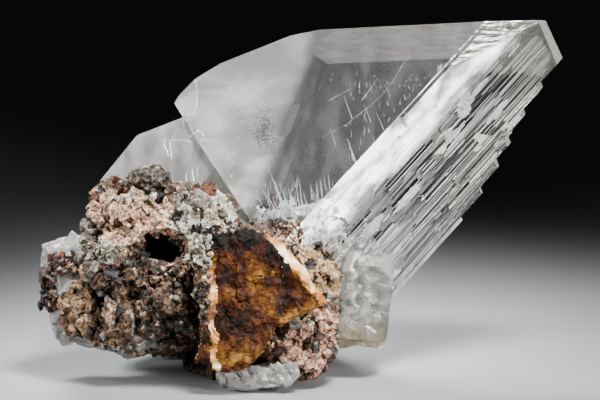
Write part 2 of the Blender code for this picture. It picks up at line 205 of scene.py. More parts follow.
def pixelAt(spot):
    # the pixel of the picture where a point of the model is seen
    seen = viewMatrix.inverted() @ spot
    x = photo["width"] / 2 + seen.x / photo["mmPerPixel"]
    return x, photo["baseRow"] - seen.y / photo["mmPerPixel"]


def firstHit(skins, x, y):
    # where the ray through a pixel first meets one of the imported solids
    start, ray = pixelRay(x, y)
    hits = [hit for hit in (skin.ray_cast(start, ray) for skin in skins) if hit[0] is not None]
    if not hits:
        return None, None
    spot, normal, _, _ = min(hits, key=lambda hit: hit[3])
    return spot, normal


def settled(piece):
    # what a piece's modifiers make of it becomes its mesh
    bpy.context.view_layer.update()
    graph = bpy.context.evaluated_depsgraph_get()
    mesh = bpy.data.meshes.new_from_object(piece.evaluated_get(graph))
    piece.modifiers.clear()
    piece.data = mesh
    return piece


def placeIn(add, matrix):
    # the surface's own place, in mm of the crystal's or the view's frame
    spot, turn, size = matrix.inverted().decompose()
    place = add("TexCoord").outputs["Object"]
    return add("Mapping", (place, spot, turn.to_euler(), size))


def pulled(add, place, stretch, turn=(0, 0, 0)):
    # the same place squeezed along some axes, so a pattern on it runs in streaks
    return add("Mapping", (place, (0, 0, 0), [math.radians(a) for a in turn], stretch))


def patterned(add, surface, pattern, stops=None, relief=None):
    # a pattern gives the surface its colours, and its relief with a strength and a depth in metres
    if stops:
        feed(surface, {"Base Color": add("ValToRGB", (pattern,), stops=stops)})
    if relief:
        feed(surface, {"Normal": add("Bump", {"Height": pattern, "Strength": relief[0], "Distance": relief[1]})})


# Clear selenite: water-clear cleavage glass, IOR 1.525, with thin veils that hang in the light.
clearValues = {
    "tint": "#F3F5F6", "ior": 1.525, "polish": 0.015,
    "veilLeast": 0.03, "veilMost": 0.065, "milkLeft": 0.26, "milkBlur": 0.45,
}
# The same mineral etched or bruised: its skin scatters light to a soft milky grey. The bruised white also serves as
# painted highlight on narrow lath faces that lean to the right.
etchedValues = {"tint": "#BFBDBA", "roughness": 0.36, "through": 0.8}
streakedValues = {"tint": "#DDD6CA", "roughness": 0.26, "through": 0.8, "bump": 0.05}
bruisedAndGlintValues = {"tint": "#F4F3F0", "roughness": 0.3, "through": 0.6}


def clearSelenite():
    made, add, surface = newMaterial(
        "clearSeleniteCleavage", Base_Color=linear(clearValues["tint"]), Roughness=clearValues["polish"],
        IOR=clearValues["ior"], Transmission_Weight=1.0,
    )
    view = placeIn(add, viewMatrix)
    # veils 4 to 9 mm wide hang down the window, milk thickens towards the left shoulder
    veil = add("TexNoise", {"Vector": pulled(add, view, (0.16, 0.035, 0.1), (0, 0, 6)), "Scale": 1.0, "Detail": 5.0})
    wisps = add("TexNoise", {"Vector": pulled(add, view, (0.9, 0.12, 0.5), (0, 0, -8)), "Detail": 3.0})
    soft = add("MapRange", (veil, 0.45, 0.72, clearValues["veilLeast"], clearValues["veilMost"]))
    fine = add("MapRange", (wisps, 0.58, 0.8, 0.0, 0.06))
    # the milk begins at the window's left border, which leans 20 degrees
    sides = add("SeparateXYZ", {"Vector": pulled(add, view, (1, 1, 1), (0, 0, 19.9))})
    left = add(
        "MapRange", (sides.outputs["X"], -30.5, -40.0, 0.0, clearValues["milkLeft"]), interpolation_type="SMOOTHSTEP"
    )
    # soft shades within the milk, and a spotted darker cloud 12 mm tall beside the window
    shade = add("TexNoise", {
        "Vector": pulled(add, view, (0.045, 0.09, 0.05), (0, 0, -38)), "Scale": 1.0, "Detail": 3.0, "Distortion": 0.5,
    })
    tone = add("ValToRGB", (shade,), stops=((0.38, "#8D8B8A"), (0.5, "#A9A8A7"), (0.62, "#CCCBCA")))
    # the milk thins out towards the top edge and on the small facet at the far left
    high = add("MapRange", (sides.outputs["Y"], 78.0, 93.0, 0.0, 0.45))
    far = add("MapRange", (sides.outputs["X"], -58.0, -66.0, 0.0, 0.45))
    thin = add("Math", (high, far), operation="MAXIMUM")
    tone = add("Mix", {"Factor": thin, 6: tone, 7: linear("#7A7979")}, data_type="RGBA")
    away = add("VectorMath", (pulled(add, view, (0.2, 0.13, 0.0)), (-2.46, 10.9, 0.0)), operation="DISTANCE")
    spots = add("TexNoise", {"Vector": view, "Scale": 1.5, "Detail": 2.0})
    near = add("MapRange", (away, 1.3, 0.2, 0.0, 0.27))
    near = add("Math", (near, spots))
    near = add("MapRange", (near, 0.63, 0.74, 0.0, 0.9))
    milky = add("MapRange", (sides.outputs["X"], -29.0, -35.0, 0.0, 1.0), interpolation_type="SMOOTHSTEP")
    tint = add("Mix", {"Factor": milky, 6: linear(clearValues["tint"]), 7: tone}, data_type="RGBA")
    tint = add("Mix", {"Factor": near, 6: tint, 7: linear("#4A4A4C")}, data_type="RGBA")
    blur = (sides.outputs["X"], -30.0, -38.0, clearValues["polish"], clearValues["milkBlur"])
    blur = add("MapRange", blur, interpolation_type="SMOOTHSTEP")
    haze = add("Math", (add("Math", (soft, fine)), left))
    through = add("Math", (1.0, haze), operation="SUBTRACT", use_clamp=True)
    feed(surface, {"Base Color": tint, "Roughness": blur, "Transmission Weight": through})
    return made


# Where the laths begin beside the front edge, in mm: how far along, and its climb for each mm across.
feather = {"start": 30.8, "climb": 2.45}


def striatedSelenite():
    # growth side: glassy laths with a cloudy white margin along the front edge
    made, add, surface = newMaterial(
        "striatedSeleniteSide", Base_Color=linear("#F5F5F3"), Roughness=0.05, IOR=clearValues["ior"]
    )
    outward, across, edge = striatedAxes()
    turned = pulled(add, placeIn(add, crystalMatrix), (1, 1, 1), (0, 0, -stand["prismAngle"]))
    sides = add("SeparateXYZ", {"Vector": turned})
    cloud = add("TexNoise", {"Vector": pulled(add, turned, (0.16, 0.16, 0.07)), "Scale": 1.0, "Detail": 3.0})
    grain = add("TexNoise", {"Vector": pulled(add, turned, (1.3, 1.3, 0.02)), "Scale": 1.0, "Detail": 2.0})
    first = across.dot(edge)
    margin = add(
        "MapRange", (sides.outputs["X"], first + 14.0, first + 8.0, 0.0, 0.6), interpolation_type="SMOOTHSTEP"
    )
    # above the feathered line the side is bare and clear
    start = feather["start"] - feather["climb"] * first
    climb = add("Math", (sides.outputs["X"], feather["climb"], start), operation="MULTIPLY_ADD")
    below = add("Math", (climb, sides.outputs["Z"]), operation="SUBTRACT")
    under = add("MapRange", (below, -1.0, 2.5, 0.0, 1.0))
    lump = add("MapRange", (cloud, 0.4, 0.62, 0.3, 1.9))
    haze = add("Math", (margin, lump), operation="MULTIPLY")
    haze = add("Math", (haze, under), operation="MULTIPLY")
    threads = add("MapRange", (grain, 0.5, 0.72, 0.0, 0.1))
    haze = add("Math", (haze, threads), use_clamp=True)
    bare = add("MapRange", (below, 0.5, -2.0, 0.0, 0.4))
    haze = add("Math", (haze, bare), use_clamp=True)
    through = add("Math", (1.0, haze), operation="SUBTRACT", use_clamp=True)
    # and warm grey there, with fine wavy streaks as on the end face beside it
    waves = add("TexNoise", {
        "Vector": pulled(add, placeIn(add, viewMatrix), (0.04, 0.6, 0.3), (0, 0, -2)), "Scale": 1.0, "Detail": 2.5,
    })
    grey = add("ValToRGB", (waves,), stops=((0.35, "#5C574F"), (0.65, "#8F8A80")))
    share = add("Math", (bare, 2.4), operation="MULTIPLY", use_clamp=True)
    tint = add("Mix", {"Factor": share, 6: linear("#F5F5F3"), 7: grey}, data_type="RGBA")
    blur = add("MapRange", (bare, 0.0, 0.4, 0.05, 0.13))
    relief = add("Bump", {"Height": waves, "Strength": share, "Distance": 0.0003})
    feed(surface, {"Base Color": tint, "Roughness": blur, "Normal": relief, "Transmission Weight": through})
    return made


def etchedSelenite(name="etchedSelenite", fading=False):
    made, add, surface = newMaterial(
        name, Base_Color=linear(etchedValues["tint"]), Roughness=etchedValues["roughness"],
        IOR=clearValues["ior"], Transmission_Weight=etchedValues["through"],
    )
    view = placeIn(add, viewMatrix)
    # upright soft streaks 3 to 6 mm wide
    cloud = add("TexNoise", {"Vector": pulled(add, view, (0.22, 0.05, 0.1)), "Scale": 1.0, "Detail": 4.0})
    patterned(add, surface, cloud, ((0.32, "#9E9C9A"), (0.5, etchedValues["tint"]), (0.68, "#DDDBD8")))
    if not fading:
        dents = add("TexNoise", {"Vector": pulled(add, view, (0.3, 0.16, 0.3)), "Scale": 1.0, "Detail": 3.0})
        patterned(add, surface, dents, relief=(0.4, 0.002))
        return made
    # the frosting of the back flank fades out over 4 mm near its edge, so the window's border is soft
    depth = add("SeparateXYZ", {"Vector": placeIn(add, crystalMatrix)})
    for socket, plain, clear in (
        ("Roughness", etchedValues["roughness"], 0.03), ("Transmission Weight", etchedValues["through"], 1.0),
    ):
        fade = add("MapRange", (depth.outputs["Y"], 13.5, 17.5, plain, clear), interpolation_type="SMOOTHSTEP")
        feed(surface, {socket: fade})
    return made


def icySelenite():
    # clear lumps grown over the blade's foot: rounded facets 4 to 8 mm wide, a honey stain low down
    made, add, surface = newMaterial(
        "icySeleniteLumps", Roughness=0.28, IOR=clearValues["ior"], Transmission_Weight=0.82
    )
    view = placeIn(add, viewMatrix)
    facets = add("TexVoronoi", {"Vector": view, "Scale": 0.2, "Smoothness": 0.2}, feature="SMOOTH_F1")
    cloud = add("TexNoise", {"Vector": view, "Scale": 0.2, "Detail": 6.0, "Roughness": 0.6, "Distortion": 0.6})
    tone = add("ValToRGB", (cloud,), stops=((0.34, "#82827F"), (0.5, "#B9B8B4"), (0.64, "#ECEBE7")))
    sides = add("SeparateXYZ", {"Vector": view})
    low = add("MapRange", (sides.outputs["Y"], 21.0, 13.0, 0.0, 0.9))
    stain = add("Math", (low, cloud), operation="MULTIPLY")
    tint = add("Mix", {"Factor": stain, 6: tone, 7: linear("#C2A25A")}, data_type="RGBA")
    feed(surface, {"Base Color": tint})
    patterned(add, surface, add("Math", (facets, cloud)), relief=(0.35, 0.003))
    return made


def streakedSelenite():
    # the sloping back end face: fine wavy growth streaks, warm grey
    made, add, surface = newMaterial(
        "streakedSeleniteEnd", Base_Color=linear(streakedValues["tint"]), Roughness=streakedValues["roughness"],
        IOR=clearValues["ior"], Transmission_Weight=streakedValues["through"],
    )
    view = placeIn(add, viewMatrix)
    waves = add("TexNoise", {
        "Vector": pulled(add, view, (0.025, 0.5, 0.3), (0, 0, -2)), "Scale": 1.0, "Detail": 2.5, "Distortion": 0.6,
    })
    stops = ((0.3, "#847D72"), (0.5, "#ADA79C"), (0.7, "#C9C5BD"))
    patterned(add, surface, waves, stops, (streakedValues["bump"], 0.0008))
    return made


def bruisedAndGlintSelenite(name="bruisedAndGlintSelenite", tint=None, through=None, roughness=None):
    # crushed edges, clouds and crumbs of selenite: soft white, light gets a little way in; by default it is also the
    # white of painted highlights on lath faces
    made, add, surface = newMaterial(
        name, Base_Color=linear(tint or bruisedAndGlintValues["tint"]), Roughness=roughness or bruisedAndGlintValues["roughness"],
        IOR=clearValues["ior"], Transmission_Weight=through or bruisedAndGlintValues["through"],
    )
    place = add("TexCoord").outputs["Object"]
    grain = add("TexNoise", {"Vector": place, "Scale": 600.0, "Detail": 4.0})
    patterned(add, surface, grain, relief=(0.5, 0.0006))
    return made


laths = {
    "seed": 5,
    "fineCount": 1500,
    "width": (0.3, 1.1),
    "length": (3.0, 26.0),
    "darkShare": 0.38,
    "sink": 1.6,
    "pitch": (0.6, 1.35),
    # plain ones, then dark ones: lean of the left and the right lid in degrees, and where the crest lies;
    # a lid that leans 18 degrees and more to the left lets the eye through to the dark behind
    # a right lid that leans 6.5 degrees and more is painted white as a highlight on the crystal
    "lids": (((18, 42), (0, 9), (0.12, 0.5)), ((18, 36), (8, 24), (0.66, 0.9))),
    # darkest bundles: pixel of their lower and upper end, width in pixels
    "dark": (
        (472, 88, 507, 51, 9), (508, 69, 538, 34, 5), (476, 112, 549, 42, 20), (440, 124, 458, 105, 10),
        (449, 146, 486, 115, 10), (375, 190, 427, 139, 10), (334, 220, 356, 197, 7), (411, 222, 449, 186, 10),
        (449, 203, 482, 175, 8), (400, 255, 443, 212, 4), (492, 163, 528, 112, 8), (517, 113, 557, 67, 7),
        (472, 157, 488, 141, 6), (392, 282, 437, 222, 5), (312, 212, 352, 172, 3), (430, 175, 470, 132, 5),
        (365, 250, 392, 222, 4), (505, 120, 532, 92, 6), (520, 60, 548, 30, 5), (455, 165, 500, 118, 6),
        (420, 205, 455, 170, 5), (375, 262, 420, 217, 5), (400, 160, 440, 120, 3), (418, 260, 462, 214, 5),
        (500, 152, 519, 130, 5), (538, 90, 553, 72, 4), (462, 128, 492, 98, 8), (446, 150, 470, 126, 6),
        (455, 140, 500, 95, 5), (428, 190, 452, 165, 6), (436, 128, 448, 116, 4), (470, 110, 496, 84, 5),
        (486, 122, 512, 96, 6), (440, 175, 476, 140, 5), (395, 190, 420, 166, 5), (470, 178, 505, 143, 6),
        (386, 214, 420, 180, 4), (345, 240, 372, 213, 4), (478, 96, 500, 74, 4), (415, 172, 440, 148, 4),
        (494, 112, 545, 62, 12), (500, 80, 530, 50, 8),
    ),
}
# where the steps of the right outline end: mm across the striated side, mm along it
stepTops = ((30.4, 56.0), (32.2, 45.0), (35.0, 34.5), (37.4, 26.0), (39.4, 15.5), (41.4, 3.5), (43.0, -9.5))


def striatedAxes():
    # outward normal and across direction of the striated side, and a point on its front edge
    angle = math.radians(stand["prismAngle"])
    outward = Vector((math.sin(angle), -math.cos(angle), 0))
    across = Vector((math.cos(angle), math.sin(angle), 0))
    return outward, across, Vector((stand["frontSideEdge"], -stand["halfThick"], 0))


def onStriatedSide(x, y):
    # how far across and along the striated side a pixel of the picture lies, in mm
    outward, across, edge = striatedAxes()
    start, ray = pixelRay(x, y)
    toCrystal = crystalMatrix.inverted()
    start = toCrystal @ start
    ray = toCrystal.to_3x3() @ ray
    spot = start + ray * ((edge - start).dot(outward) / ray.dot(outward))
    return (spot - edge).dot(across), spot.z


def cutAway(shape, point, normal):
    # cuts off what lies outside a plane and closes the cut
    made = bmesh.ops.bisect_plane(
        shape, geom=shape.verts[:] + shape.edges[:] + shape.faces[:], dist=1e-5,
        plane_co=point, plane_no=normal, clear_outer=True,
    )
    rim = [e for e in made["geom_cut"] if isinstance(e, bmesh.types.BMEdge)]
    if rim:
        bmesh.ops.edgeloop_fill(shape, edges=rim)


def addBlock(shape, size, cuts):
    # adds a block to the mesh, cut back to planes given as point and outward normal
    fresh = bmesh.new()
    bmesh.ops.create_cube(fresh, size=size)
    for point, normal in cuts:
        cutAway(fresh, point, normal)
    bmesh.ops.remove_doubles(fresh, verts=fresh.verts[:], dist=1e-4)
    bmesh.ops.recalc_face_normals(fresh, faces=fresh.faces[:])
    bmesh.ops.triangulate(fresh, faces=fresh.faces[:])
    addMesh(shape, meshOf("block", fresh))


def addMesh(shape, mesh):
    shape.from_mesh(mesh)
    bpy.data.meshes.remove(mesh)


def roofOf(reach, draw):
    # how far up the side a lath may grow: a feathered line near the front edge, then the steps
    if reach < 15.5:
        return feather["start"] + feather["climb"] * reach + draw.uniform(-2.0, 0.6)
    if reach < 30.4:
        return min(66.0 - 0.1 * reach, 67.5 - 0.6 * max(0.0, reach - 18.0))
    return max([-99.0] + [top for step, top in stepTops if step + 0.25 > reach])


def scattered(draw, nodes, patches):
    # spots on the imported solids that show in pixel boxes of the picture, with normal and size in mm
    skins = [skinOf(node) for node in nodes]
    for (leftX, topY, rightX, lowY), count, least, most in patches:
        for _ in range(count):
            spot, normal = firstHit(skins, draw.uniform(leftX, rightX), draw.uniform(topY, lowY))
            if spot is not None:
                yield spot, normal, least + (most - least) * draw.random() ** 1.8


def sideHeight(skin, reach, along):
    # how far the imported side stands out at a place: it has broad ledges of its own
    outward, across, edge = striatedAxes()
    start = edge + across * reach + outward * 8
    start.z = along
    spot, _, _, _ = skin.ray_cast(crystalMatrix @ start, -(crystalMatrix.to_3x3() @ outward).normalized())
    height = 0.0 if spot is None else (crystalMatrix.inverted() @ spot - edge).dot(outward)
    return max(-3.0, height)


def addLath(shape, draw, base, low, width, top, bottom, dark):
    outward, across, edge = striatedAxes()
    edge = edge + outward * base
    axis = Vector((0, 0, 1))
    leftLean, rightLean, share = (draw.uniform(*reach) for reach in laths["lids"][dark])
    height = width * share * math.tan(math.radians(leftLean)) * draw.uniform(0.8, 1.1)
    crest = edge + across * (low + width * share) + outward * height
    leftUp = math.cos(math.radians(leftLean)) * outward - math.sin(math.radians(leftLean)) * across
    rightUp = math.cos(math.radians(rightLean)) * outward + math.sin(math.radians(rightLean)) * across
    cuts = [
        (crest, leftUp), (crest, rightUp),
        (edge - outward * laths["sink"] * draw.uniform(0.8, 1.2), -outward),
        (edge + across * (low - 0.05), (-across + 0.2 * outward).normalized()),
        (edge + across * (low + width + 0.05), (across + 0.2 * outward).normalized()),
        (crest + axis * (top - crest.z), (axis + draw.uniform(-0.4, 1.0) * across + 0.5 * outward).normalized()),
        (crest + axis * (bottom - crest.z), (-axis + draw.uniform(-0.8, 0.4) * across + 0.5 * outward).normalized()),
    ]
    addBlock(shape, 400.0, cuts)


def lathPlan():
    # every lath as its start across, width, top, bottom and whether it is a dark one
    draw = random.Random(laths["seed"])
    plan = []
    for lowX, lowY, topX, topY, wide in laths["dark"]:
        lowAcross, lowAlong = onStriatedSide(lowX, lowY)
        topAcross, topAlong = onStriatedSide(topX, topY)
        middle = (lowAcross + topAcross) / 2
        reach = middle - wide * 0.26
        while reach < middle + wide * 0.26:
            width = draw.uniform(*laths["pitch"])
            top = min(topAlong + draw.uniform(-5, 2), roofOf(reach + width, draw))
            plan.append((reach, width, top, lowAlong + draw.uniform(-4, 6), True))
            reach += width * draw.uniform(0.95, 1.15)
    for _ in range(laths["fineCount"]):
        width = draw.uniform(*laths["width"])
        reach = 3.0 + 39.0 * draw.random()
        top = roofOf(reach + width, draw) - 95.0 * draw.random() ** 1.2
        if reach < 13 and top > 15:
            continue
        bottom = max(-48.0, top - draw.uniform(*laths["length"]))
        covered = any(r < reach + width and reach < r + w and bottom < t and b < top for r, w, t, b, _ in plan)
        if top - bottom > 3 and not covered:
            plan.append((reach, width, top, bottom, draw.random() < laths["darkShare"]))
    for step, top in stepTops:
        for _ in range(4):
            # ragged ends that hide the even steps of the outline
            width = draw.uniform(0.6, 1.6)
            reach = step - draw.uniform(0.2, 3.2) - width
            end = top + draw.uniform(-9.0, 1.5)
            plan.append((reach, width, end, end - draw.uniform(8, 30), draw.random() < 0.4))
    return plan, draw


def lathSheaves():
    # fine laths along the long axis, sorted into sheaves whose laths don't touch each other
    plan, draw = lathPlan()
    skin = skinOf("selenite_crystal")
    sheaves = []
    for lath in plan:
        reach, width, top, bottom, _ = lath
        for sheaf in sheaves:
            if all(
                reach > r + w + 0.3 or r > reach + width + 0.3 or bottom > t + 4.0 or b > top + 4.0
                for r, w, t, b, _ in sheaf
            ):
                sheaf.append(lath)
                break
        else:
            sheaves.append([lath])
    print("laths", len(plan), "in", len(sheaves), "sheaves")
    for sheaf in sheaves:
        shape = bmesh.new()
        for reach, width, top, bottom, dark in sheaf:
            base = sideHeight(skin, reach + width / 2, bottom + 0.7 * (top - bottom))
            addLath(shape, draw, base, reach, width, top, bottom, dark)
        bmesh.ops.transform(shape, matrix=crystalMatrix, verts=shape.verts[:])
        yield linked("sheaf", meshOf("sheaf", shape))


def joined(piece, other):
    join = piece.modifiers.new("join", "BOOLEAN")
    join.operation = "UNION"
    join.object = other
    join.solver = "MANIFOLD"
    settled(piece)
    bpy.data.objects.remove(other)


def makeClearCrystal():
    finishes = {
        "clear": clearSelenite(), "striated": striatedSelenite(), "etched": etchedSelenite(),
        "streaked": streakedSelenite(), "bruisedAndGlint": bruisedAndGlintSelenite(),
        "worn": bruisedAndGlintSelenite("wornSeleniteTip", "#8A8780", 0.4, 0.75),
        "faded": etchedSelenite("etchedBackFlank", True), "icy": icySelenite(),
    }
    piece = meshPiece("clearCrystal", copyOfNode("selenite_crystal"), finishes.values())
    for sheaf in lathSheaves():
        joined(piece, sheaf)
    toCrystal = crystalMatrix.inverted()
    toView = viewMatrix.inverted()
    outward, across, edge = striatedAxes()
    # outward directions of the worn tip and of the back left flank, in the crystal's frame
    tip = Vector((0.82, -0.13, 1.0)).normalized()
    flank = Vector((-0.574, 0.772, -0.272)).normalized()
    for face in piece.data.polygons:
        facing = (toCrystal.to_3x3() @ face.normal).normalized()
        at = toCrystal @ face.center
        seen = toView @ face.center
        lean = math.degrees(math.atan2(facing.dot(across), facing.dot(outward)))
        height = (at - edge).dot(outward)
        if facing.dot(tip) > 0.985:
            finish = "worn"
        elif facing.dot(flank) > 0.99:
            finish = "faded"
        elif at.x < -55 and facing.y < -0.5:
            finish = "clear"
        elif seen.y < 47 and 12 < seen.x < 25.7 + 0.38 * (44.5 - seen.y):
            finish = "icy"
        elif facing.x > 0.95 and abs(at.x + 30) < 1.5:
            finish = "bruisedAndGlint"
        elif seen.y < 47 and seen.x > 12 and lean > -20:
            finish = "etched"
        elif facing.y < -0.98 and at.y < -19.5:
            finish = "clear"
        elif height > -6 and abs(facing.z) < 0.75 and abs(lean) < 80:
            # painted highlight: narrow lath faces that lean 6.5 to 30 degrees to the right are given the white finish
            # as glints
            finish = "bruisedAndGlint" if 6.5 < lean < 30 and abs(facing.z) < 0.1 else "striated"
        elif (at - edge).dot(across) > 27 and height > -8:
            finish = "striated"
        elif facing.y > 0.98 and at.y > 19.5:
            finish = "clear"
        elif facing.z > 0.2 and facing.y > -0.6 and at.z > -26:
            finish = "streaked"
        elif at.z < -28 or at.x < -20 and at.z < 26:
            finish = "etched"
        else:
            finish = "etched" if at.x < 0 else "striated"
        face.material_index = list(finishes).index(finish)
        face.use_smooth = False
    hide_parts("selenite_crystal")


# Needles of cloudy gypsum that grew up inside the foot of the crystal, and other marks, in mm unless said.
needles = {
    "depth": 7.0,
    # flecks and short threads: pixel box, how many and how long in pixels
    "flecks": (
        (188, 112, 236, 152, 46, 5), (158, 138, 180, 158, 16, 14), (222, 135, 262, 170, 34, 8),
        (190, 158, 232, 186, 24, 10), (262, 185, 335, 214, 60, 12), (340, 80, 420, 130, 30, 7),
        (405, 72, 432, 100, 26, 3), (300, 75, 400, 90, 14, 4), (250, 110, 276, 150, 30, 2),
        (346, 130, 392, 170, 26, 8),
    ),
    "fringe": 90,
    # the needles: pixel of foot, pixel of tip, thickness in mm
    "long": (
        (287, 216, 269, 169, 0.85), (284, 214, 275, 186, 0.4), (291, 212, 279, 183, 0.5),
        (294, 210, 288, 187, 0.5), (281, 216, 272, 197, 0.3), (302, 205, 299, 178, 0.3),
        (307, 205, 303, 192, 0.25), (318, 199, 316, 180, 0.3), (322, 196, 320, 178, 0.3),
        (326, 190, 324, 178, 0.25), (356, 163, 347, 138, 0.45), (353, 160, 349, 140, 0.25),
        (276, 212, 266, 192, 0.3), (297, 208, 293, 196, 0.25), (289, 214, 284, 196, 0.35),
        (300, 208, 296, 186, 0.2), (312, 200, 310, 186, 0.2), (330, 190, 328, 172, 0.2),
        (270, 205, 262, 188, 0.25), (262, 205, 256, 190, 0.2), (352, 118, 344, 96, 0.2),
        (371, 122, 364, 104, 0.18), (336, 146, 330, 128, 0.15), (384, 130, 376, 112, 0.15),
        (362, 100, 378, 78, 0.15), (330, 100, 352, 88, 0.12),
    ),
    # painted reflections: white sheets under the striated side stand in for light reflected from inner cleavage;
    # pixel of the middle, mm across and along
    "patches": (
        (465, 112, 2.6, 3.0), (502, 107, 1.2, 4.0), (498, 116, 0.7, 3.0), (460, 74, 3.0, 8.0),
        (452, 88, 2.6, 7.0), (399, 160, 3.0, 6.0), (400, 145, 2.2, 3.0), (454, 136, 1.4, 4.0),
        (478, 90, 1.0, 6.0), (492, 118, 0.7, 3.0), (424, 131, 2.6, 7.0), (449, 134, 1.6, 2.6),
        (480, 50, 2.4, 6.0), (385, 172, 2.0, 5.0), (437, 108, 2.0, 5.0), (352, 200, 1.8, 6.0),
        (372, 228, 2.4, 7.0), (408, 198, 1.6, 8.0),
    ),
    # cloudy foot of the needle tuft, under the broad front: pixel of the middle, half width and height in mm
    "foot": (
        (258, 216, 3.4, 1.6), (272, 214, 3.6, 2.2), (287, 212, 4.4, 2.6), (300, 210, 3.8, 1.9),
        (313, 207, 3.2, 2.0), (324, 203, 3.0, 2.4), (283, 206, 2.0, 2.6), (292, 203, 1.2, 2.8),
    ),
    # bright seams along edges and joints of the front: pixels along each, thickness
    "seams": (
        ((196, 80), (197, 96), (197, 110), 0.35), ((181, 114), (189, 115), (197, 112), 0.35),
        ((176, 104), (182, 115), 0.3), ((181, 116), (184, 126), 0.25),
        ((190, 137), (195, 133), (201, 130), 0.5), ((201, 131), (203, 136), 0.4), ((186, 137), (198, 136), 0.3),
        ((160, 141), (175, 140), (190, 141), (207, 140), 0.22),
        ((217, 62), (240, 53), (262, 45), (289, 37), 0.16), ((164, 143), (168, 156), 0.5),
        ((170, 143), (172, 160), 0.35), ((192, 170), (194, 182), 0.3), ((197, 168), (198, 180), 0.3),
        ((186, 172), (187, 182), 0.25),
    ),
    # a healed crack climbs across the window: pixels along it
    "crack": (
        (322, 137), (335, 130), (347, 124), (358, 115), (371, 105), (383, 94), (392, 82), (401, 67), (409, 57),
    ),
}


def gypsumFibre(name="cloudyGypsumFibre"):
    # cloudy gypsum, fibrous: chalk white, matt, with fine lengthwise grain
    made, add, surface = newMaterial(name, Roughness=0.6, IOR=1.52)
    place = add("TexCoord").outputs["Object"]
    grain = add("TexNoise", {"Vector": place, "Scale": 900.0, "Detail": 3.0})
    patterned(add, surface, grain, ((0.35, "#D9DBE0"), (0.6, "#FAFAFA")))
    return made


def makeInclusions():
    draw = random.Random(31)
    shape = bmesh.new()
    lines = [
        (insideAt(footX, footY, needles["depth"] - 2), insideAt(tipX, tipY, needles["depth"]), 1.5 * thick)
        for footX, footY, tipX, tipY, thick in needles["long"]
    ]
    trail = [insideAt(x, y, 4.0 + 0.3 * k) for k, (x, y) in enumerate(needles["crack"])]
    lines += [(a, b, draw.uniform(0.07, 0.2)) for a, b in zip(trail, trail[1:])]
    for leftX, topY, rightX, lowY, count, long in needles["flecks"]:
        for _ in range(count):
            x, y = draw.uniform(leftX, rightX), draw.uniform(topY, lowY)
            foot = insideAt(x, y, draw.uniform(4.5, 9.0))
            tip = insideAt(x + draw.gauss(0, 1.2), y - draw.uniform(0.4, 1.0) * long, draw.uniform(4.5, 9.0))
            lines.append((foot, tip, draw.uniform(0.1, 0.32)))
    skin = skinOf("selenite_crystal")
    for *path, thick in needles["seams"]:
        dots = []
        for (startX, startY), (endX, endY) in zip(path, path[1:]):
            for k in range(6):
                x = startX + (endX - startX) * k / 5 + draw.gauss(0, 0.35)
                y = startY + (endY - startY) * k / 5 + draw.gauss(0, 0.35)
                spot, normal, _, _ = skin.ray_cast(*pixelRay(x, y))
                if spot is not None:
                    dots.append(crystalMatrix.inverted() @ (spot - normal * 0.05 * mm))
        lines += [(a, b, thick * draw.uniform(0.5, 1.3)) for a, b in zip(dots, dots[1:]) if 0.2 < (a - b).length < 4]
    outward, across, edge = striatedAxes()
    for k in range(needles["fringe"]):
        # a feathered fringe under the striated side, along the line where the laths begin
        reach = 13.0 * (k + draw.random()) / needles["fringe"]
        foot = edge + across * reach - outward * draw.uniform(0.4, 0.9)
        foot.z += feather["start"] + feather["climb"] * reach - 1.0
        way = (Vector((0, 0, 1)) * draw.uniform(0.5, 1.0) - across * draw.uniform(0.3, 0.9)).normalized()
        lines.append((foot, foot + way * draw.uniform(1.0, 3.0), draw.uniform(0.14, 0.26)))
    for foot, tip, thick in lines:
        run = tip - foot
        place = Matrix.Translation((foot + tip) / 2) @ run.to_track_quat("Z", "Y").to_matrix().to_4x4()
        bmesh.ops.create_cone(
            shape, cap_ends=True, segments=6, radius1=thick / 2, radius2=0.03 if thick > 0.13 else thick / 3,
            depth=run.length, matrix=place,
        )
    for spot in trail * 5:
        # bright bits that sit in the crack
        at = spot + Vector([draw.uniform(-1.4, 1.4) for _ in range(3)]) * 0.8
        size = draw.uniform(0.1, 0.45)
        place = Matrix.Translation(at) @ randomTurn(draw, 0, 6)
        bmesh.ops.create_icosphere(
            shape, subdivisions=1, radius=size / 2, matrix=place @ Matrix.Diagonal((1.0, 0.4, 1.8, 1.0))
        )
    bmesh.ops.transform(shape, matrix=crystalMatrix, verts=shape.verts[:])
    return meshPiece("innerNeedles", shape, [gypsumFibre()])


def addCloud(shape, place, middle, base, swells):
    # a lump that noise swells by some share of its size, at one scale after the other
    verts = bmesh.ops.create_icosphere(shape, subdivisions=4, radius=1.0, matrix=place)["verts"]
    for vert in verts:
        grow = sum((share * noise.noise(vert.co * scale) for share, scale in swells), base)
        vert.co = middle + (vert.co - middle) * grow
    return verts


